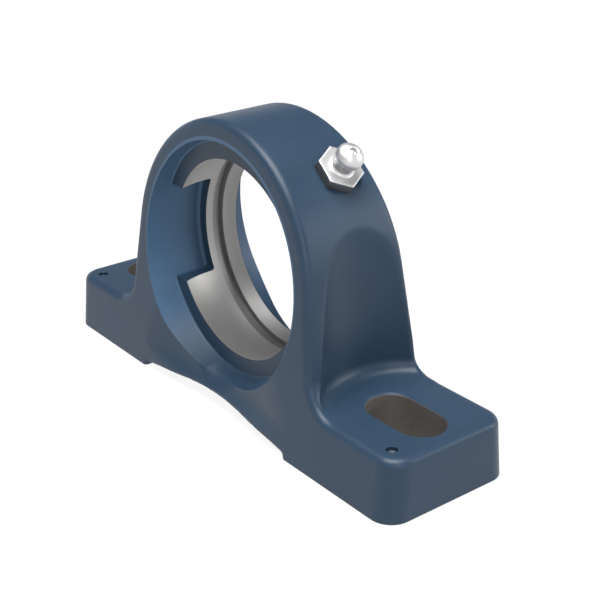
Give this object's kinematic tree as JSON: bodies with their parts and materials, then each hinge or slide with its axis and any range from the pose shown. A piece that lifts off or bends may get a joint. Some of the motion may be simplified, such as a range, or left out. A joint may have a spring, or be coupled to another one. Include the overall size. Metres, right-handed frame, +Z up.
{
  "type": "pillow block bearing housing",
  "caption": "Empty cast iron pillow block housing with a ball-shaped seat for an insert bearing, slotted feet and a grease nipple.",
  "frame": {"origin": "centre of the underside of the base", "axes": "+X along the base, towards the foot on the nipple's side; +Y along the bore, from the side where the filling slots open to the back; +Z up, away from the base"},
  "size_m": [0.13, 0.0356, 0.0701],
  "materials": {
    "painted_casting": "blue-grey paint over a sand casting, with the seat and the underside machined bare",
    "plated_steel": "zinc plated, satin",
    "polished_steel": "polished",
    "spring_steel": "drawn wire"
  },
  "bodies": {
    "body": {"housing": "painted_casting", "grease_nipple": "plated_steel", "check_spring": "spring_steel"},
    "ball": {"check_ball": "polished_steel"}
  },
  "joints": [
    {"name": "check_lift", "type": "slide", "parent": "body", "child": "ball", "axis": [-0.6756, 0, -0.7373], "range_m": [0, 0.0009], "stiffness_N_per_m": 400, "springref_m": -0.001, "deforming": ["check_spring"]}
  ]
}
